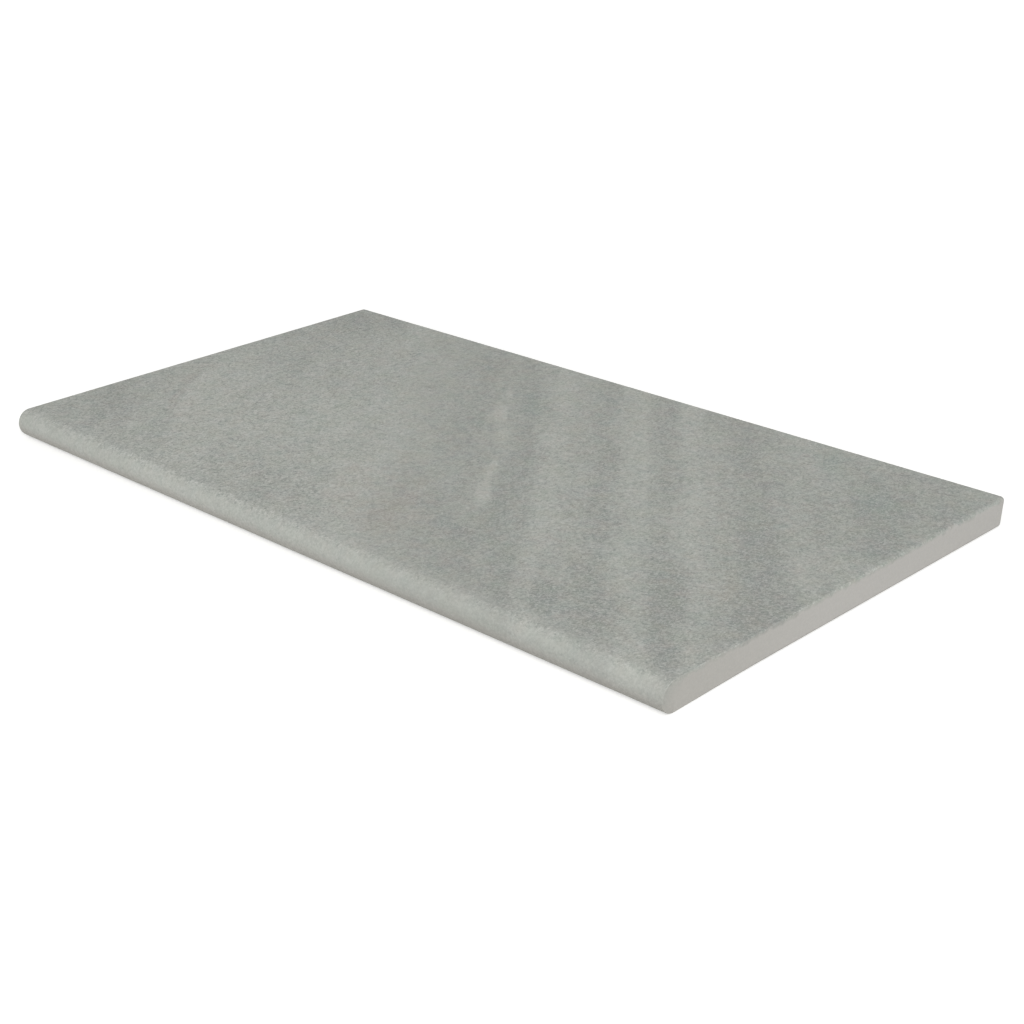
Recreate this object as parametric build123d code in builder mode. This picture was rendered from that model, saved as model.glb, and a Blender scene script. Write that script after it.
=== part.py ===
from build123d import *
from math import atan, cos, degrees, tan
import os

# Porcelain pool coping with a full bullnose: one pressed, glazed and fired piece, in millimetres.
# X runs along the pool's edge, -Y points out over the water and +Z is up.
# The origin is under the middle of the tile, on the level that it lies on.

# Overall size
tile_length = 600.0  # from end to end
tile_depth = 330.0  # from the tip of the nose to the back edge
tile_thickness = 20.0  # from bed to face, which is the height of the nose too

# Pressed outline
side_draft = 1.0  # how far each plain side leans in from the face down to the bed
arris = 2.5  # radius of the soft rounding on every edge, round the ends of the nose too
face_corner = 1.0  # radius that the flat face keeps at a back corner, inside the arris

# Keys pressed into the bed, which the adhesive grips
key_size = 33.0  # side of a square key at its mouth
key_rib = 5.0  # width of the rib left between two keys
key_depth = 0.8
key_slope = 0.6  # how far a key's wall leans in over its depth, so that the die lets go
key_margin = 15.0  # plain border along the ends and the back
nose_strip = 45.0  # plain strip behind the tip of the nose, the part that overhangs the water

# The nose is a half round as high as the tile is thick.
nose_radius = tile_thickness / 2
nose_tip = -tile_depth / 2
nose_centre = nose_tip + nose_radius

# A leaning side is widest where its arris turns downwards, a little inside the plan of the face.
draft_angle = atan(side_draft / tile_thickness)
arris_pull = arris * (tan(draft_angle) + 1 / cos(draft_angle) - 1)
plan_length = tile_length + 2 * arris_pull
plan_back = tile_depth / 2 + arris_pull
plan_front = nose_tip - side_draft - nose_radius
plan_corner = arris + face_corner

# Keys are set out from the middle of the bed, as many as fit inside the plain margins.
key_pitch = key_size + key_rib
keys_along = int((tile_length - 2 * key_margin + key_rib) // key_pitch)
keys_across = int((tile_depth - nose_strip - key_margin + key_rib) // key_pitch)
key_field_centre = (nose_strip - key_margin) / 2

# Sides of the die: the plan of the face, drawn in towards the bed, with its two back corners
# rounded. It reaches past the nose, which is shaped by the section alone.
with BuildPart() as sides:
    with BuildSketch(Plane.XY.offset(tile_thickness)) as plan:
        with Locations((0, plan_front)):
            Rectangle(plan_length, plan_back - plan_front, align=(Align.CENTER, Align.MIN))
        fillet(plan.vertices().group_by(Axis.Y)[-1], plan_corner)
    extrude(amount=-tile_thickness, taper=degrees(draft_angle))

with BuildPart() as coping_tile:
    # Section across the pool's edge: flat face, half-round nose, flat bed.
    with BuildSketch(Plane.YZ) as section:
        with BuildLine() as outline:
            face_line = Line((plan_back + nose_radius, tile_thickness), (nose_centre, tile_thickness))
            nose_arc = TangentArc([face_line @ 1, (nose_centre, 0)], tangent=face_line % 1)
            bed_line = Line(nose_arc @ 1, (plan_back + nose_radius, 0))
            Line(bed_line @ 1, face_line @ 0)
        make_face()
    extrude(amount=plan_length / 2 + nose_radius, both=True)
    add(sides.part, mode=Mode.INTERSECT)

    # One arris runs round the face, down round both ends of the nose and round the bed. The
    # frontmost edge of face and bed is left out: there they run smoothly into the nose.
    face = coping_tile.faces().sort_by(Axis.Z)[-1]
    bed = coping_tile.faces().sort_by(Axis.Z)[0]
    fillet(face.edges().sort_by(Axis.Y)[1:] + bed.edges().sort_by(Axis.Y)[1:], arris)

    # Square keys with sloping walls, in rows over the bed.
    with BuildSketch(Plane.XY) as key_plan:
        with Locations((0, key_field_centre)):
            with GridLocations(key_pitch, key_pitch, keys_along, keys_across):
                Rectangle(key_size, key_size)
    extrude(amount=key_depth, taper=degrees(atan(key_slope / key_depth)), mode=Mode.SUBTRACT)

coping_tile.part.label = "coping_tile"
os.makedirs("parts", exist_ok=True)
export_step(coping_tile.part, "parts/coping_tile.step")
print("keys", keys_along, "x", keys_across, "volume", round(coping_tile.part.volume), "mm3")
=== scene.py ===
import bmesh
import bpy
from math import atan, ceil, copysign, cos, pi, radians, sin, tan
from mathutils import Euler, Matrix, Vector, noise


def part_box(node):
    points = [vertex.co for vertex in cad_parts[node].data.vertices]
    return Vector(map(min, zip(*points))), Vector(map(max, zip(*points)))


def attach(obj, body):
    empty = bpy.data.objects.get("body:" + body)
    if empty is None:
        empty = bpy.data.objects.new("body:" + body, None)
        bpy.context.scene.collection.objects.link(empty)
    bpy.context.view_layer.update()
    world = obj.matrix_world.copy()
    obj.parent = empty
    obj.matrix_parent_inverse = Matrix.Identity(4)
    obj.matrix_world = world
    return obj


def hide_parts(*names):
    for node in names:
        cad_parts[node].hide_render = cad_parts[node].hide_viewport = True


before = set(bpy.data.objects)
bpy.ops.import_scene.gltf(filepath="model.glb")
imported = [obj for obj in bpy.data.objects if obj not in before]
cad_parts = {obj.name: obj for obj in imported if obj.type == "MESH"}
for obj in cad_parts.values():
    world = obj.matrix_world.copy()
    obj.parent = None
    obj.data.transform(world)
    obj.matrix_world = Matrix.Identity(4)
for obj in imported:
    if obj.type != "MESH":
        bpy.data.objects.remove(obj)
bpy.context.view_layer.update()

scene = bpy.context.scene
scene.view_settings.view_transform = "Standard"
mm = 0.001


def linearColour(hexText):
    # sRGB hex to the linear values that Blender's sockets take
    channels = [int(hexText[i:i + 2], 16) / 255 for i in (1, 3, 5)]
    return [c / 12.92 if c <= 0.04045 else ((c + 0.055) / 1.055) ** 2.4 for c in channels] + [1.0]


def addNode(tree, kind, settings=None, links=None):
    # settings name a property or a socket of the node
    # links give the node or output that feeds a socket
    node = tree.nodes.new("ShaderNode" + kind)

    def socketOf(name):
        if isinstance(name, int):
            return node.inputs[name]
        return next((socket for socket in node.inputs if socket.enabled and socket.name == name), None)

    for name, value in (settings or {}).items():
        socket = socketOf(name)
        if socket:
            socket.default_value = value
        else:
            setattr(node, name, value)
    for name, source in (links or {}).items():
        if isinstance(source, bpy.types.Node):
            source = next(socket for socket in source.outputs if socket.enabled)
        tree.links.new(source, socketOf(name))
    return node


# Everything about the tile's form, in millimetres. Its length, depth and thickness come from the
# coping_tile part in model.glb.
coping = {
    "arris": 2.5,  # radius of the soft rounding on the edges, at the back of the tile
    "arrisSteps": 5,
    "sharpFrom": 40,  # degrees that two faces turn at an edge, for it to get the arris
    "noseEndArris": 0.16,  # share of it that is left round the ends of the nose
    "arrisGrows": (300, 60),  # lengths behind the nose over which it grows to all of it, on face and bed
    "sideDraft": 1.0,  # how far the plain sides lean in, from the face down to the bed
    "backCorner": 3.5,  # radius of the two back corners, seen from above
    "cornerSteps": 6,
    "noseSteps": 30,  # strips round the half-round nose
    "cell": 2.6,  # widest cell of the mesh on the face, small enough to carry the pressed relief
    "rimCell": 6.0,  # outermost cells, wide enough to hold the arris
    "keySize": 33.0,  # pressed keys of the underside
    "keyRib": 5.0,
    "keyMargin": 15.0,
    "noseStrip": 45.0,  # plain strip between the tip of the nose and the keys
    "keyCorner": 2.5,  # cell at each corner of a key, whose outer point is drawn in for a round look
    "keyCornerIn": 0.29,  # by this share of the cell
    "keySteps": [(0.15, 0.06), (0.3, 0.34), (0.3, 0.34), (0.25, 0.06)],  # in and up, from the mouth
    "grainTilt": 50,  # degrees that the stone's grain falls from the length, towards the nose
    "rippleSize": 17,  # width of the ripples that the press leaves in the face
    "rippleStretch": 4.5,  # they are this much longer along the grain
    "rippleDepth": 0.11,
    "rippleSeed": 3.7,  # another number gives other ripples
    "dimpleSize": 6.5,  # small dimples over the ripples
    "dimpleDepth": 0.05,
    "reliefFrom": 1.0,  # the nose has no relief below this height
    "leastRelief": 0.05,  # nor where this share of it or less would be left
}

low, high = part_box("coping_tile")
tileLength = (high.x - low.x) / mm
tileDepth = (high.y - low.y) / mm
tileThickness = (high.z - low.z) / mm
noseRadius = tileThickness / 2
noseCentre = low.y / mm + noseRadius

# The arris takes the sharp edge off the leaning sides, so they start that much further out.
lean = atan(coping["sideDraft"] / tileThickness)
pull = coping["arris"] * (tan(lean) + 1 / cos(lean) - 1)
endX = tileLength / 2 + pull
backY = high.y / mm + pull

grainTilt = radians(coping["grainTilt"])
alongGrain = Vector((cos(grainTilt), -sin(grainTilt), 0))
acrossGrain = Vector((sin(grainTilt), cos(grainTilt), 0))
slack = 0.01  # places no further apart than this count as one


def leanIn(height):
    # how far a plain side stands in at this height
    return coping["sideDraft"] * (1 - height / tileThickness)


def spacedLines(marks, widest):
    # a line at each mark, and equal cells between them no wider than widest
    lines = [marks[0]]
    for start, end in zip(marks, marks[1:]):
        cells = ceil((end - start - slack) / widest)
        lines += [start + (end - start) * (i + 1) / cells for i in range(cells)]
    return lines


def keyStarts(room, middle):
    # near sides of as many keys as fit into the room, set out from the middle
    pitch = coping["keySize"] + coping["keyRib"]
    count = int((room + coping["keyRib"]) // pitch)
    first = middle - (count * pitch - coping["keyRib"]) / 2
    return [first + pitch * i for i in range(count)]


keyXs = keyStarts(tileLength - 2 * coping["keyMargin"], 0)
keyYs = keyStarts(tileDepth - coping["noseStrip"] - coping["keyMargin"],
                  (coping["noseStrip"] - coping["keyMargin"]) / 2)


def keySide(at, starts):
    # 1 on the near side of a key, -1 on its far side, 0 elsewhere
    for start in starts:
        if abs(at - start) < slack:
            return 1
        if abs(at - start - coping["keySize"]) < slack:
            return -1
    return 0


def withinKey(at, starts):
    return any(start < at < start + coping["keySize"] for start in starts)


def copingSection():
    # Across the pool's edge: face, back, bed, then the half-round nose from below. On the bed the
    # lines are few: its own edges, and the sides and corner cells of the keys.
    size = coping["keySize"]
    corner = coping["keyCorner"]
    backRim = backY - coping["rimCell"]
    faceLines = spacedLines([noseCentre, backRim], coping["cell"]) + [backY]
    keyLines = [y + step for y in keyYs for step in (0, corner, size - corner, size)]
    bedLines = [noseCentre] + keyLines + [backRim, backY - coping["sideDraft"]]
    section = [(y, tileThickness) for y in faceLines]
    section += [(y, 0) for y in reversed(bedLines)]
    for step in range(1, coping["noseSteps"]):
        turn = pi * step / coping["noseSteps"]
        section.append((noseCentre - noseRadius * sin(turn), noseRadius - noseRadius * cos(turn)))
    return section


def sweepSection(bm):
    # The section at each column of the mesh: the keys' sides are columns, and the outermost two lean.
    section = copingSection()
    rim = endX - coping["rimCell"]
    keySides = [x + step for x in keyXs for step in (0, coping["keySize"])]
    columns = [-endX] + spacedLines([-rim] + keySides + [rim], coping["cell"]) + [endX]
    rings = []
    for x in columns:
        ring = []
        for y, z in section:
            leaning = copysign(leanIn(z), x) if abs(x) == endX else 0
            ring.append(bm.verts.new((x - leaning, y, z)))
        rings.append(ring)
    for ring, nextRing in zip(rings, rings[1:]):
        for i in range(len(section)):
            j = (i + 1) % len(section)
            bm.faces.new((ring[i], ring[j], nextRing[j], nextRing[i]))
    bm.faces.new(rings[0])
    bm.faces.new(rings[-1])
    bmesh.ops.recalc_face_normals(bm, faces=bm.faces)
    bm.normal_update()


def roundEdges(bm, edges, radius, steps):
    bmesh.ops.bevel(bm, geom=edges, offset=radius, offset_type="OFFSET", segments=steps,
                    profile=0.5, affect="EDGES", clamp_overlap=False)
    bm.normal_update()


def softenEdges(bm):
    # The two upright back corners, then the arris round face, nose ends and bed.
    uprights = []
    for edge in bm.edges:
        first, second = edge.verts
        wholeHeight = abs(first.co.z - second.co.z) > tileThickness - slack
        if wholeHeight and abs(first.co.x) > endX - coping["sideDraft"] - slack:
            uprights.append(edge)
    roundEdges(bm, uprights, coping["backCorner"], coping["cornerSteps"])
    sharpTurn = radians(coping["sharpFrom"])
    sharp = [edge for edge in bm.edges if edge.calc_face_angle(0) > sharpTurn]
    roundEdges(bm, sharp, coping["arris"], coping["arrisSteps"])

    # The arris of the ends is fine round the nose and grows towards the back.
    for vert in bm.verts:
        inward = endX - leanIn(vert.co.z) - abs(vert.co.x)
        behind = vert.co.y - noseCentre
        if inward < coping["arris"] + slack:
            spoke = Vector((0, min(behind, 0), vert.co.z - noseRadius))
            reach = coping["arrisGrows"][0 if vert.co.z > noseRadius else 1]
            grown = min(max(behind / reach, 0), 1)
            lost = (1 - coping["noseEndArris"]) * (1 - grown)
            vert.co += spoke.normalized() * (noseRadius - spoke.length) * lost
            vert.co.x += copysign(inward * lost, vert.co.x)
    bm.normal_update()


def pressKeys(bm):
    # The keys' corners are drawn in a little, then the bed inside them steps up into the body.
    cornerIn = coping["keyCornerIn"] * coping["keyCorner"]
    for vert in bm.verts:
        sideX = keySide(vert.co.x, keyXs)
        sideY = keySide(vert.co.y, keyYs)
        if abs(vert.co.z) < slack and sideX and sideY:
            vert.co += cornerIn * Vector((sideX, sideY, 0))
    pockets = []
    for bedFace in bm.faces:
        middle = bedFace.calc_center_median()
        if abs(middle.z) < slack and withinKey(middle.x, keyXs) and withinKey(middle.y, keyYs):
            pockets.append(bedFace)
    for stepIn, stepUp in coping["keySteps"]:
        bmesh.ops.inset_region(bm, faces=pockets, thickness=stepIn, depth=-stepUp,
                               use_even_offset=True, use_boundary=True)
    bm.normal_update()


def reliefDepth(place):
    # what the press leaves in the face: long ripples along the grain, and small dimples
    across = place.dot(acrossGrain) / coping["rippleSize"]
    along = place.dot(alongGrain) / coping["rippleSize"] / coping["rippleStretch"]
    ripple = noise.noise(Vector((across, along, coping["rippleSeed"])))
    dimple = noise.noise(place / coping["dimpleSize"])
    return coping["rippleDepth"] * (0.5 + 0.5 * ripple) + coping["dimpleDepth"] * (0.5 + 0.5 * dimple)


def pressRelief(bm):
    # Relief goes inwards only, so the tile keeps its size. It fades out round the nose's underside.
    for vert in bm.verts:
        share = max(vert.normal.z, -vert.normal.y, 0)
        if share > coping["leastRelief"] and vert.co.z > coping["reliefFrom"]:
            vert.co -= vert.normal * reliefDepth(vert.co) * share


def makeCoping():
    bm = bmesh.new()
    sweepSection(bm)
    softenEdges(bm)
    pressKeys(bm)
    pressRelief(bm)
    for meshFace in bm.faces:
        meshFace.smooth = True
    bmesh.ops.scale(bm, vec=(mm, mm, mm), verts=bm.verts)
    mesh = bpy.data.meshes.new("bullnoseCoping")
    bm.to_mesh(mesh)
    bm.free()
    piece = bpy.data.objects.new("bullnoseCoping", mesh)
    scene.collection.objects.link(piece)
    # flats stay flat up to the soft arrises
    piece.modifiers.new("flatFirst", "WEIGHTED_NORMAL").keep_sharp = True
    return piece


# The glaze: a thin matte skin over face and nose, printed as stone. Sizes and places are in
# millimetres, colours are sRGB, and tones run from -1 for the dark colour to 1 for the light one.
glaze = {
    "light": "#ADAFA9",  # light bands of the printed stone
    "dark": "#91938F",  # dark bands
    "toneReach": 0.95,  # from this tone on the print is all light, or all dark
    "bendSize": 140,  # long waves bend the grain
    "bend": 7.0,  # sideways by up to so much
    "fibreWidth": 14,  # fine streaks along the grain
    "fibreLength": 70,
    "fibrePush": 8.0,  # they push the bands aside by up to so much
    "fibres": 0.85,  # and are as strong as this, in tones
    "cloudSize": 26,  # broad clouds
    "clouds": 0.8,
    "mottleSize": 5.0,  # softer blotches
    "mottle": 1.35,
    "teal": "#8A9891",  # cool tint of some patches
    "warm": "#A89D95",  # brownish pink tint of others
    "mostTeal": 0.45,  # largest share of each
    "mostWarm": 0.36,
    "tintReach": 1.2,  # warmth, or coolness, at which a tint comes to that
    "patchSize": 45,  # warmth drifts in patches
    "patches": 0.8,
    "spotSize": 8,  # and in small spots
    "spots": 1.7,
    "olive": "#9DA192",  # faint green-yellow clouds
    "oliveSize": 18,
    "mostOlive": 0.35,
    "nose": "#A7A9A3",  # the print thins out on the nose
    "paleFrom": 9,  # towards it from this far behind its middle
    "pale": 0.4,  # up to this share
    "palerFrom": 8,  # and then down it, between these heights above its middle
    "palerTo": 4,
    "paler": 0.2,  # by this share more
    "washWithPaintedShade": "#A6A49E",  # below its middle only a thin warm wash of glaze is left, painted darker as the shade under the nose
    "washWithShadeFade": (12.5, 5.0),  # heights between which it turns into the wash, down the nose
    "paintedNoseShade": (1.03, 0.91),  # painted shade: brightness of the lower nose, towards its left end and its right one
    "paintedShadeAlong": (-120, 200),  # places along the nose between which that changes
    "paintedShadeDown": (8.5, 2.5),  # heights above its middle between which that comes in
    "grainSize": 1.35,  # frit grains are about 0.3 mm, drawn coarser so that they show
    "grainDark": "#676E6B",
    "grainLight": "#C9C9C5",
    "grainSpread": 0.4,  # how far from the middle a grain's random value gives the full colour
    "grainGain": (0.43, 0.7),  # strength of the speckle, in calm bands and in busy ones
    "noseGrain": 0.43,  # share of it that is left on the nose
    "noseGrainFrom": (0.1, 3.4),  # depths below the face between which it drops to that
    "gritSize": 1.1,  # relief of the frit, drawn coarser like its speckle
    "gritDepth": 0.1,
    "gritStrength": 0.3,
    "roughness": 0.62,
    # the glaze thins out to nothing over this much of the end faces, round the nose and elsewhere
    "lapNose": 10.0,
    "lapSides": 3.0,
    "lapGrows": (12, -4),  # places behind the nose's middle between which one turns into the other
    "lapWave": 1.2,  # its edge is ragged by so much, up and down
    "lapWaveSize": 5.5,
    "onEnds": 0.7,  # share of it that sticks to the flat of the ends
    "endsFrom": 0.92,  # sideways part of the normal from which it starts to thin
    # bands of the stone, placed across its grain: place, tone
    "bands": [
        (-330, 0.0), (-250, -0.3), (-205, 0.2), (-150, -0.1), (-100, 0.2), (-68, 0.5), (-38, -0.1),
        (-8, -0.5), (12, -0.1), (30, -0.8), (52, 0.8), (69, 0.1), (84, -0.7), (108, 1.0), (124, -0.6),
        (143, 0.8), (158, 0.1), (181, -1.0), (207, 0.2), (224, 0.2), (250, -0.2), (290, 0.0), (330, 0.0),
    ],
    # bands of calm (-1) and busy (1) speckle
    "speckleBands": [
        (-330, 0.6), (-190, 1.0), (-110, 0.75), (-75, 0.1), (-45, -0.9), (15, -0.9), (50, -0.2),
        (330, -0.2),
    ],
    "bandReach": 340,  # a little more than the furthest of those places
    "bandFadeSize": 90,  # the stone's bands fade and come back along the grain
    "bandFade": (0.64, 0.97),  # between these strengths
    # marks of their own: place across and along the grain, half width, half length, tone, warmth
    "marks": [
        (-195, -50, 170, 230, 0.55, 0.0),
        (-140, -45, 95, 130, 0.2, 0.0),
        (265, 90, 90, 110, -0.55, 0.0),
        (150, 240, 90, 95, -0.7, 0.0),
        (60, 215, 110, 80, -0.35, 0.0),
        (-208, -130, 80, 95, 0.22, 0.0),
        (-60, -5, 65, 75, 0.2, 0.0),
        (217, 125, 70, 75, -0.28, 0.0),
        (11, -112, 6, 22, 1.1, 0.5),
        (9, -70, 8, 28, 2.6, 0.4),
        (15, -30, 7, 24, 2.3, 0.4),
        (-4, -52, 9, 30, -0.5, -0.4),
        (11, 30, 6, 24, 2.0, 0.5),
        (12, 68, 7, 32, 2.2, 0.5),
        (21, 108, 12, 80, -0.7, -0.2),
        (6, 147, 18, 65, -0.7, 0.1),
        (32, -93, 14, 42, -0.6, -1.0),
        (-41, 95, 38, 85, -0.5, 1.0),
        (-76, 65, 22, 95, 0.5, 0.7),
        (-131, 46, 30, 60, -0.4, 0.0),
        (-108, -60, 50, 90, 0.5, -0.3),
        (-217, -105, 9, 105, 1.2, 0.4),
        (-228, -115, 7, 90, -0.8, 0.8),
        (-274, -88, 34, 85, -0.7, 0.0),
        (-116, -290, 60, 75, -1.1, 0.0),
        (-156, -176, 18, 60, -0.5, 0.0),
        (3, -168, 28, 65, -0.4, 0.1),
        (60, 220, 15, 40, -1.4, -0.3),
        (157, 208, 14, 40, 0.4, 0.5),
        (171, 248, 16, 34, -0.8, 0.3),
        (221, 171, 16, 45, 0.4, 0.1),
        (250, 144, 16, 50, -0.5, 0.0),
        (232, 12, 18, 42, -0.2, -1.0),
        (252, 80, 22, 44, -0.3, -1.1),
    ],
}
# The bare fired body of the sides and the bed.
body = {
    "colour": "#B2B0AC",
    "dust": "#C4C1BB",  # release powder of the kiln on the bed
    "dustSize": 30,
    "dustShare": (0.1, 0.8),  # where there is least of it and where there is most
    "dustTop": (1.0, 0.2),  # heights between which it comes in
    "drift": 0.6,  # share of painted shade, in the colour of the nose's lower wash, on the body near the nose
    "paintedShadeReach": 150,  # and how far back
    "roughness": 0.78,
    "grainSize": 1.2,  # fired grain, drawn coarser so that it shows
    "grain": 0.09,
}


def bendGrain(tree, place):
    # Grain space: y runs along the stone's grain, and x across it, a little bent by noise.
    acrossRaw = addNode(tree, "VectorMath", {"operation": "DOT_PRODUCT", 1: acrossGrain}, {0: place})
    along = addNode(tree, "VectorMath", {"operation": "DOT_PRODUCT", 1: alongGrain}, {0: place})
    bend = addNode(tree, "TexNoise", {"Scale": 1 / glaze["bendSize"], "Detail": 1.0}, {"Vector": place})
    bendShift = addNode(tree, "MapRange", {"To Min": -glaze["bend"], "To Max": glaze["bend"]},
                        {"Value": bend})
    straight = addNode(tree, "CombineXYZ", {}, {"X": acrossRaw, "Y": along})
    drawnOut = addNode(tree, "VectorMath",
                       {"operation": "MULTIPLY", 1: (1 / glaze["fibreWidth"], 1 / glaze["fibreLength"], 1)},
                       {0: straight})
    fibres = addNode(tree, "TexNoise", {"Scale": 1.0, "Detail": 3.0}, {"Vector": drawnOut})
    fibreShift = addNode(tree, "MapRange", {"To Min": -glaze["fibrePush"], "To Max": glaze["fibrePush"]},
                         {"Value": fibres})
    shift = addNode(tree, "Math", {"operation": "ADD"}, {0: bendShift, 1: fibreShift})
    across = addNode(tree, "Math", {"operation": "ADD"}, {0: acrossRaw, 1: shift})
    grainPlace = addNode(tree, "CombineXYZ", {}, {"X": across, "Y": along})
    return across, grainPlace, fibres


def layBands(tree, across, stops):
    # soft bands along the whole grain, from 0 to 1
    reach = glaze["bandReach"]
    bandPlace = addNode(tree, "MapRange", {"From Min": -reach, "From Max": reach}, {"Value": across})
    bands = addNode(tree, "ValToRGB", {}, {0: bandPlace})
    ramp = bands.color_ramp
    ramp.interpolation = "EASE"
    ramp.elements.remove(ramp.elements[-1])
    for index, (at, tone) in enumerate(stops):
        position = (at + reach) / (2 * reach)
        stop = ramp.elements[0] if index == 0 else ramp.elements.new(position)
        stop.position = position
        stop.color = [0.5 + 0.5 * tone] * 3 + [1]
    return bands


def layPrint(tree, place, across, grainPlace, fibres):
    # Bands, stronger in some stretches than in others. Most values of a noise lie between 0.3 and
    # 0.7, so here and below a range near those brings out all of it.
    bands = layBands(tree, across, glaze["bands"])
    bandTone = addNode(tree, "MapRange", {"To Min": -1.0, "To Max": 1.0}, {"Value": bands})
    fadeNoise = addNode(tree, "TexNoise", {"Scale": 1 / glaze["bandFadeSize"], "Detail": 2.0},
                        {"Vector": grainPlace})
    weakest, strongest = glaze["bandFade"]
    fade = addNode(tree, "MapRange", {"From Min": 0.3, "From Max": 0.6, "To Min": weakest,
                                      "To Max": strongest}, {"Value": fadeNoise})
    bandsFaded = addNode(tree, "Math", {"operation": "MULTIPLY"}, {0: bandTone, 1: fade})

    # Marks of their own: each is a long soft ellipse that adds its tone and its warmth.
    total = addNode(tree, "CombineXYZ", {}, {"X": bandsFaded})
    for atAcross, atAlong, halfWidth, halfLength, tone, warmth in glaze["marks"]:
        scaled = addNode(tree, "VectorMath",
                         {"operation": "MULTIPLY_ADD", 1: (1 / halfWidth, 1 / halfLength, 0),
                          2: (-atAcross / halfWidth, -atAlong / halfLength, 0)}, {0: grainPlace})
        away = addNode(tree, "VectorMath", {"operation": "LENGTH"}, {0: scaled})
        share = addNode(tree, "MapRange", {"interpolation_type": "SMOOTHERSTEP", "To Min": 1.0,
                                           "To Max": 0.0}, {"Value": away})
        total = addNode(tree, "VectorMath", {"operation": "MULTIPLY_ADD", 1: (tone, warmth, 0)},
                        {0: share, 2: total})
    sums = addNode(tree, "SeparateXYZ", {}, {0: total})

    # Clouds, fine fibres and mottling between the bands.
    clouds = addNode(tree, "TexNoise", {"Scale": 1 / glaze["cloudSize"], "Detail": 5.0,
                                        "Roughness": 0.72}, {"Vector": place})
    mottle = addNode(tree, "TexNoise", {"Scale": 1 / glaze["mottleSize"], "Detail": 2.0},
                     {"Vector": place})
    tone = sums.outputs["X"]
    for softNoise, name in ((clouds, "clouds"), (fibres, "fibres"), (mottle, "mottle")):
        softTone = addNode(tree, "MapRange", {"To Min": -glaze[name], "To Max": glaze[name]},
                           {"Value": softNoise})
        tone = addNode(tree, "Math", {"operation": "ADD"}, {0: tone, 1: softTone})
    toneShare = addNode(tree, "MapRange", {"From Min": -glaze["toneReach"],
                                           "From Max": glaze["toneReach"]}, {"Value": tone})
    stone = addNode(tree, "Mix", {"data_type": "RGBA", "A": linearColour(glaze["dark"]),
                                  "B": linearColour(glaze["light"])}, {"Factor": toneShare})
    return stone, sums.outputs["Y"]


def tintPrint(tree, place, grainPlace, stone, markWarmth):
    # Cool and warm tints by the marks' warmth and two noises, and olive ones by a noise of their own.
    patches = addNode(tree, "TexNoise", {"Scale": 1 / glaze["patchSize"], "Detail": 4.0,
                                         "Roughness": 0.75}, {"Vector": grainPlace})
    patchDrift = addNode(tree, "MapRange", {"To Min": -glaze["patches"], "To Max": glaze["patches"]},
                         {"Value": patches})
    spots = addNode(tree, "TexNoise", {"Scale": 1 / glaze["spotSize"], "Detail": 2.0}, {"Vector": place})
    spotDrift = addNode(tree, "MapRange", {"To Min": -glaze["spots"], "To Max": glaze["spots"]},
                        {"Value": spots})
    drift = addNode(tree, "Math", {"operation": "ADD"}, {0: patchDrift, 1: spotDrift})
    warmth = addNode(tree, "Math", {"operation": "ADD"}, {0: markWarmth, 1: drift})
    coolShare = addNode(tree, "MapRange", {"From Max": -glaze["tintReach"], "To Max": glaze["mostTeal"]},
                        {"Value": warmth})
    warmShare = addNode(tree, "MapRange", {"From Max": glaze["tintReach"], "To Max": glaze["mostWarm"]},
                        {"Value": warmth})
    oliveNoise = addNode(tree, "TexNoise", {"Scale": 1 / glaze["oliveSize"], "Detail": 3.0},
                         {"Vector": place})
    oliveShare = addNode(tree, "MapRange", {"From Min": 0.35, "From Max": 0.7,
                                            "To Max": glaze["mostOlive"]}, {"Value": oliveNoise})
    colour = stone
    for tint, share in (("teal", coolShare), ("warm", warmShare), ("olive", oliveShare)):
        colour = addNode(tree, "Mix", {"data_type": "RGBA", "B": linearColour(glaze[tint])},
                         {"Factor": share, "A": colour})
    return colour


def thinOnNoseWithPaintedShade(tree, lengthPlace, depthPlace, height, tinted):
    # The print thins out towards the nose and then down it, and only the wash goes round below, darker
    # there as painted shade. The lower nose also gets painted shade towards its right end.
    nearNose = addNode(tree, "MapRange",
                       {"interpolation_type": "SMOOTHSTEP", "From Min": noseCentre + glaze["paleFrom"],
                        "From Max": noseCentre, "To Max": glaze["pale"]}, {"Value": depthPlace})
    downNose = addNode(tree, "MapRange",
                       {"From Min": noseRadius + glaze["palerFrom"],
                        "From Max": noseRadius + glaze["palerTo"], "To Max": glaze["paler"]},
                       {"Value": height})
    noseShare = addNode(tree, "Math", {"operation": "ADD"}, {0: nearNose, 1: downNose})
    # below its middle the nose turns to the wash, darker than glaze and body: painted shade under the nose
    washTop, washFull = glaze["washWithShadeFade"]
    washAndShadeShare = addNode(tree, "MapRange", {"interpolation_type": "SMOOTHSTEP", "From Min": washTop,
                                           "From Max": washFull}, {"Value": height})
    colour = tinted
    for coat, share in (("nose", noseShare), ("washWithPaintedShade", washAndShadeShare)):
        colour = addNode(tree, "Mix", {"data_type": "RGBA", "B": linearColour(glaze[coat])},
                         {"Factor": share, "A": colour})

    # Painted shade: the lower nose is made a little darker towards its right end, as in the photograph.
    leftEnd, rightEnd = glaze["paintedShadeAlong"]
    leftShade, rightShade = glaze["paintedNoseShade"]
    paintedShadeTowardsEnd = addNode(tree, "MapRange",
                         {"interpolation_type": "SMOOTHSTEP", "From Min": leftEnd, "From Max": rightEnd,
                          "To Min": leftShade, "To Max": rightShade}, {"Value": lengthPlace})
    shadeTop, shadeFull = glaze["paintedShadeDown"]
    paintedShadeOnLowerNose = addNode(tree, "MapRange", {"From Min": noseRadius + shadeTop,
                                           "From Max": noseRadius + shadeFull}, {"Value": height})
    paintedNoseShade = addNode(tree, "Mix", {"A": 1.0}, {"Factor": paintedShadeOnLowerNose, "B": paintedShadeTowardsEnd})
    return addNode(tree, "VectorMath", {"operation": "SCALE"}, {0: colour, "Scale": paintedNoseShade})


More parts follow.
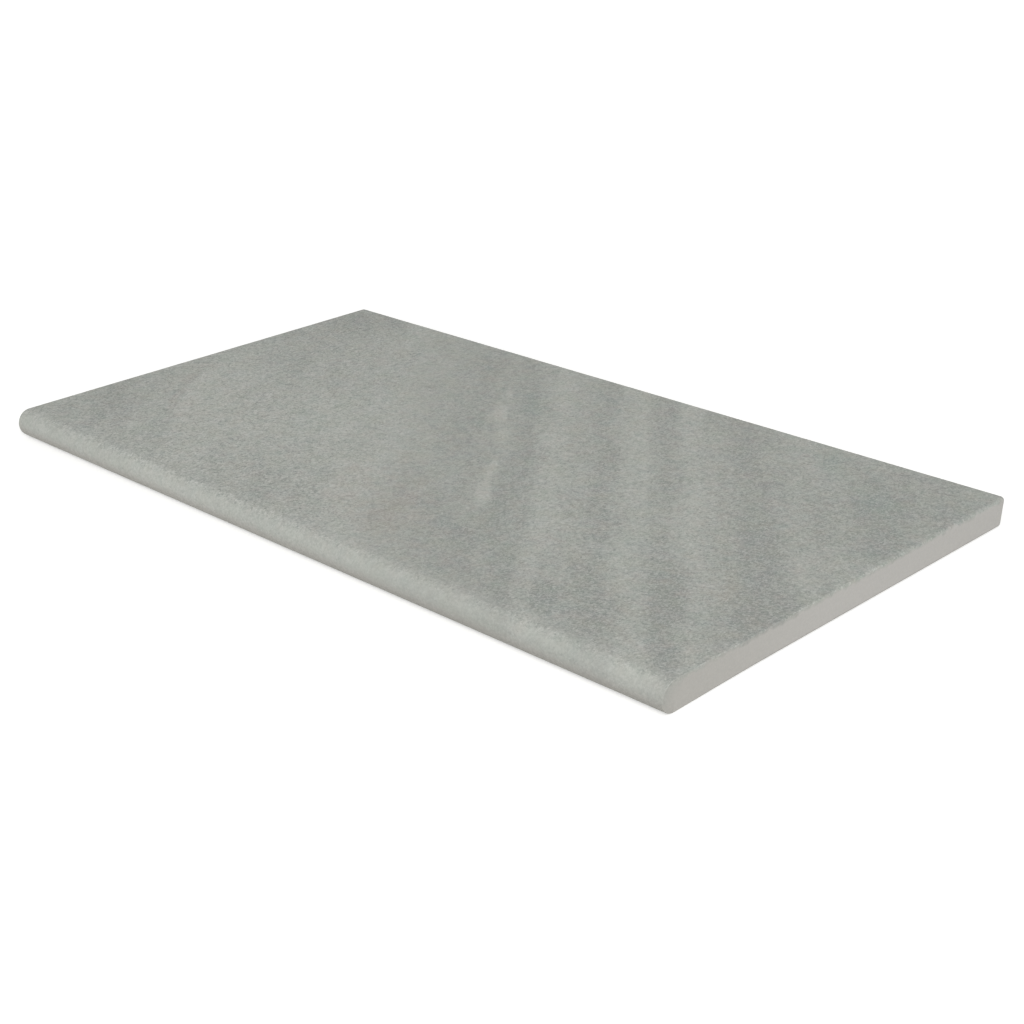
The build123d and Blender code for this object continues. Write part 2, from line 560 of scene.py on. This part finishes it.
def addSpeckle(tree, place, across, height, printedWithPaintedShade):
    # Speckle of the frit grains, dark and light, busy in some bands and softer down the nose.
    busyBands = layBands(tree, across, glaze["speckleBands"])
    speckle = addNode(tree, "TexVoronoi", {"normalize": True, "Scale": 1 / glaze["grainSize"],
                                           "Detail": 1.0, "Roughness": 1.0}, {"Vector": place})
    calmGain, busyGain = glaze["grainGain"]
    bandGain = addNode(tree, "MapRange", {"To Min": calmGain, "To Max": busyGain}, {"Value": busyBands})
    fadeStart, fadeEnd = glaze["noseGrainFrom"]
    heightGain = addNode(tree, "MapRange",
                         {"From Min": tileThickness - fadeStart, "From Max": tileThickness - fadeEnd,
                          "To Min": 1.0, "To Max": glaze["noseGrain"]}, {"Value": height})
    gain = addNode(tree, "Math", {"operation": "MULTIPLY"}, {0: bandGain, 1: heightGain})
    colour = printedWithPaintedShade
    for grain, side in (("grainDark", -1), ("grainLight", 1)):
        amount = addNode(tree, "MapRange", {"From Min": 0.5, "From Max": 0.5 + side * glaze["grainSpread"]},
                         {"Value": speckle.outputs["Color"]})
        share = addNode(tree, "Math", {"operation": "MULTIPLY"}, {0: amount, 1: gain})
        colour = addNode(tree, "Mix", {"data_type": "RGBA", "B": linearColour(glaze[grain])},
                         {"Factor": share, "A": colour})
    return colour


def printStone(tree, place, lengthPlace, depthPlace, height):
    across, grainPlace, fibres = bendGrain(tree, place)
    stone, markWarmth = layPrint(tree, place, across, grainPlace, fibres)
    tinted = tintPrint(tree, place, grainPlace, stone, markWarmth)
    printedWithPaintedShade = thinOnNoseWithPaintedShade(tree, lengthPlace, depthPlace, height, tinted)
    return addSpeckle(tree, place, across, height, printedWithPaintedShade)


def reachOfGlaze(tree, coords, place, depthPlace, height):
    # Share of glaze: full on the skin of the section, and thinning out inwards from it on the ends.
    # The section's middle line stands for all below it, except round the nose.
    front = addNode(tree, "Math", {"operation": "SUBTRACT", 0: noseCentre}, {1: depthPlace})
    frontOnly = addNode(tree, "Math", {"operation": "MAXIMUM", 1: 0.0}, {0: front})
    lowest = addNode(tree, "Math", {"operation": "MULTIPLY", 1: -noseRadius}, {0: frontOnly})
    rise = addNode(tree, "Math", {"operation": "SUBTRACT", 1: noseRadius}, {0: height})
    riseKept = addNode(tree, "Math", {"operation": "MAXIMUM"}, {0: rise, 1: lowest})
    spoke = addNode(tree, "CombineXYZ", {}, {"X": frontOnly, "Y": riseKept})
    spokeLength = addNode(tree, "VectorMath", {"operation": "LENGTH"}, {0: spoke})
    wave = glaze["lapWave"]
    lapBehind, lapBefore = glaze["lapGrows"]
    lap = addNode(tree, "MapRange",
                  {"interpolation_type": "SMOOTHSTEP", "From Min": noseCentre + lapBehind,
                   "From Max": noseCentre + lapBefore, "To Min": glaze["lapSides"] - wave,
                   "To Max": glaze["lapNose"] - wave}, {"Value": depthPlace})
    edgeNoise = addNode(tree, "TexNoise", {"Scale": 1 / glaze["lapWaveSize"], "Detail": 2.0},
                        {"Vector": place})
    inside = addNode(tree, "MapRange", {"From Min": 0.3, "From Max": 0.7, "To Min": noseRadius,
                                        "To Max": noseRadius - 2 * wave}, {"Value": edgeNoise})
    deep = addNode(tree, "Math", {"operation": "SUBTRACT"}, {0: inside, 1: spokeLength})
    thinned = addNode(tree, "Math", {"operation": "DIVIDE"}, {0: deep, 1: lap})
    reached = addNode(tree, "MapRange", {"From Min": 1.0, "From Max": 0.0}, {"Value": thinned})

    # It is sprayed from above and from the front, so it is thin on the flat of the ends.
    facing = addNode(tree, "SeparateXYZ", {}, {0: coords.outputs["Normal"]})
    sideways = addNode(tree, "Math", {"operation": "ABSOLUTE"}, {0: facing.outputs["X"]})
    sprayed = addNode(tree, "MapRange", {"From Min": glaze["endsFrom"], "To Min": 1.0,
                                         "To Max": glaze["onEnds"]}, {"Value": sideways})
    return addNode(tree, "Math", {"operation": "MULTIPLY"}, {0: reached, 1: sprayed})


def bareBody(tree, place, depthPlace, height):
    # Even, warm and fine grained, with a film of release powder on the bed, and painted shade towards the
    # nose.
    patches = addNode(tree, "TexNoise", {"Scale": 1 / body["dustSize"], "Detail": 4.0}, {"Vector": place})
    dustTop, dustFull = body["dustTop"]
    onBed = addNode(tree, "MapRange", {"From Min": dustTop, "From Max": dustFull}, {"Value": height})
    leastDust, mostDust = body["dustShare"]
    powder = addNode(tree, "MapRange", {"From Min": 0.35, "From Max": 0.65, "To Min": leastDust,
                                        "To Max": mostDust}, {"Value": patches})
    dustShare = addNode(tree, "Math", {"operation": "MULTIPLY"}, {0: onBed, 1: powder})
    dusted = addNode(tree, "Mix", {"data_type": "RGBA", "A": linearColour(body["colour"]),
                                   "B": linearColour(body["dust"])}, {"Factor": dustShare})
    # painted shade: the body is darker towards the nose, in the wash's colour
    paintedShadeShare = addNode(tree, "MapRange",
                         {"interpolation_type": "SMOOTHSTEP", "From Min": noseCentre + body["paintedShadeReach"],
                          "From Max": noseCentre, "To Max": body["drift"]}, {"Value": depthPlace})
    paintedShadeOnBody = addNode(tree, "Mix", {"data_type": "RGBA", "B": linearColour(glaze["washWithPaintedShade"])},
                     {"Factor": paintedShadeShare, "A": dusted})
    grain = addNode(tree, "TexNoise", {"Scale": 1 / body["grainSize"], "Detail": 2.0}, {"Vector": place})
    shade = addNode(tree, "MapRange", {"To Min": 1 - body["grain"], "To Max": 1 + body["grain"]},
                    {"Value": grain})
    return addNode(tree, "VectorMath", {"operation": "SCALE"}, {0: paintedShadeOnBody, "Scale": shade})


def makePorcelain():
    # Glazed porcelain, dry pressed, printed as stone: a matte, finely speckled grey-green face over
    # a smooth warm grey body that is left bare on the sides and the bed.
    material = bpy.data.materials.new("glazedPressedPorcelain")
    material.use_nodes = True
    tree = material.node_tree
    tree.nodes.clear()
    coords = addNode(tree, "TexCoord")
    place = addNode(tree, "VectorMath", {"operation": "SCALE", "Scale": 1 / mm},
                    {0: coords.outputs["Object"]})
    split = addNode(tree, "SeparateXYZ", {}, {0: place})
    depthPlace = split.outputs["Y"]
    height = split.outputs["Z"]
    glazeColour = printStone(tree, place, split.outputs["X"], depthPlace, height)
    bodyColour = bareBody(tree, place, depthPlace, height)
    glazed = reachOfGlaze(tree, coords, place, depthPlace, height)
    colour = addNode(tree, "Mix", {"data_type": "RGBA"},
                     {"Factor": glazed, "A": bodyColour, "B": glazeColour})
    roughness = addNode(tree, "MapRange", {"To Min": body["roughness"], "To Max": glaze["roughness"]},
                        {"Value": glazed})

    # Relief too fine for the mesh: the grit of glaze and body.
    grit = addNode(tree, "TexNoise", {"Scale": 1 / glaze["gritSize"], "Detail": 2.0}, {"Vector": place})
    bump = addNode(tree, "Bump", {"Strength": glaze["gritStrength"], "Distance": glaze["gritDepth"] * mm},
                   {"Height": grit})
    # A glaze is a glass, so it has the IOR of glass, and its grit takes much of the gloss away.
    shader = addNode(tree, "BsdfPrincipled", {"IOR": 1.5, "Specular IOR Level": 0.3},
                     {"Base Color": colour, "Roughness": roughness, "Normal": bump})
    addNode(tree, "OutputMaterial", {}, {"Surface": shader})
    return material


tile = makeCoping()
print("coping pressed,", sum(len(side.vertices) - 2 for side in tile.data.polygons), "triangles")
tile.data.materials.append(makePorcelain())
print("glaze and body mixed")
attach(tile, "root")
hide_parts("coping_tile")

# Studio: pale paper, one broad soft lamp on the camera's side and an even fill from the room.
# Lengths are in metres and angles in degrees, unless a note says otherwise.
studio = {
    "paper": "#D9D9D7",
    "paperSize": 14.0,
    "paperGap": 0.3,  # mm below the bed, so that the two never share a level
    "paperGlow": (0.46, 0.9),  # what the camera sees added to the paper, near the tile and far off
    "glowReach": (0.3, 1.0),  # distances from the tile's middle between which that changes
    "fill": 0.42,
    "lampDistance": 5.0,
    "lampSize": 3.0,
    "lampPower": 227,  # watts
    "lampAzimuth": -46,
    "lampElevation": 33,
}


def seenDirectly(tree):
    # 1 where the paper or room is seen by the camera, or in a gloss, or through glass
    rays = addNode(tree, "LightPath")
    seen = rays.outputs["Is Camera Ray"]
    for ray in ("Is Glossy Ray", "Is Transmission Ray"):
        seen = addNode(tree, "Math", {"operation": "MAXIMUM"}, {0: seen, 1: rays.outputs[ray]})
    return seen


def makePaper():
    # Matte seamless background paper: keeps the tile's soft shadow, and looks white to the camera.
    material = bpy.data.materials.new("matteBackgroundPaper")
    material.use_nodes = True
    tree = material.node_tree
    tree.nodes.clear()
    coords = addNode(tree, "TexCoord")
    away = addNode(tree, "VectorMath", {"operation": "LENGTH"}, {0: coords.outputs["Object"]})
    nearTile, farOff = studio["glowReach"]
    leastGlow, mostGlow = studio["paperGlow"]
    glowHere = addNode(tree, "MapRange",
                       {"interpolation_type": "SMOOTHSTEP", "From Min": nearTile, "From Max": farOff,
                        "To Min": leastGlow, "To Max": mostGlow}, {"Value": away})
    glow = addNode(tree, "Math", {"operation": "MULTIPLY"}, {0: glowHere, 1: seenDirectly(tree)})
    shader = addNode(tree, "BsdfPrincipled",
                     {"Base Color": linearColour(studio["paper"]), "Roughness": 0.9,
                      "Specular IOR Level": 0.1, "Emission Color": (1, 1, 1, 1)},
                     {"Emission Strength": glow})
    addNode(tree, "OutputMaterial", {}, {"Surface": shader})
    return material


def lightStudio():
    half = studio["paperSize"] / 2
    level = -studio["paperGap"] * mm
    corners = [(x * half, y * half, level) for x, y in ((-1, -1), (1, -1), (1, 1), (-1, 1))]
    mesh = bpy.data.meshes.new("paper")
    mesh.from_pydata(corners, [], [(0, 1, 2, 3)])
    paper = bpy.data.objects.new("paper", mesh)
    paper.data.materials.append(makePaper())
    scene.collection.objects.link(paper)

    world = bpy.data.worlds.new("studioRoom")
    world.use_nodes = True
    tree = world.node_tree
    tree.nodes.clear()
    brightness = addNode(tree, "MapRange", {"To Min": studio["fill"], "To Max": 1.0},
                         {"Value": seenDirectly(tree)})
    background = addNode(tree, "Background", {"Color": (1, 1, 1, 1)}, {"Strength": brightness})
    addNode(tree, "OutputWorld", {}, {"Surface": background})
    scene.world = world

    light = bpy.data.lights.new("softbox", "AREA")
    light.shape = "SQUARE"
    light.size = studio["lampSize"]
    light.energy = studio["lampPower"]
    softbox = bpy.data.objects.new("softbox", light)
    turn = Euler((radians(90 - studio["lampElevation"]), 0, radians(studio["lampAzimuth"] + 90)))
    softbox.rotation_euler = turn
    softbox.location = turn.to_matrix() @ Vector((0, 0, studio["lampDistance"]))
    scene.collection.objects.link(softbox)


lightStudio()
print("studio lit")

# Camera, at the photograph's viewing angle: its place in metres, and angles in degrees.
view = {
    "place": (0.83144, -0.80712, 0.47569),
    "turn": 44.744,  # to the left of the tile's depth
    "down": 23.358,
    "roll": -1.11,
    "lens": 65.63,  # mm, on a sensor that is 36 mm wide
}
cameraData = bpy.data.cameras.new("camera")
cameraData.lens = view["lens"]
cameraData.sensor_width = 36
cameraData.clip_start = 0.01
camera = bpy.data.objects.new("camera", cameraData)
camera.location = view["place"]
aim = Euler((radians(90 - view["down"]), 0, radians(view["turn"]))).to_matrix()
camera.rotation_euler = (aim @ Matrix.Rotation(radians(view["roll"]), 3, "Z")).to_euler()
scene.collection.objects.link(camera)
scene.camera = camera
print("camera set")
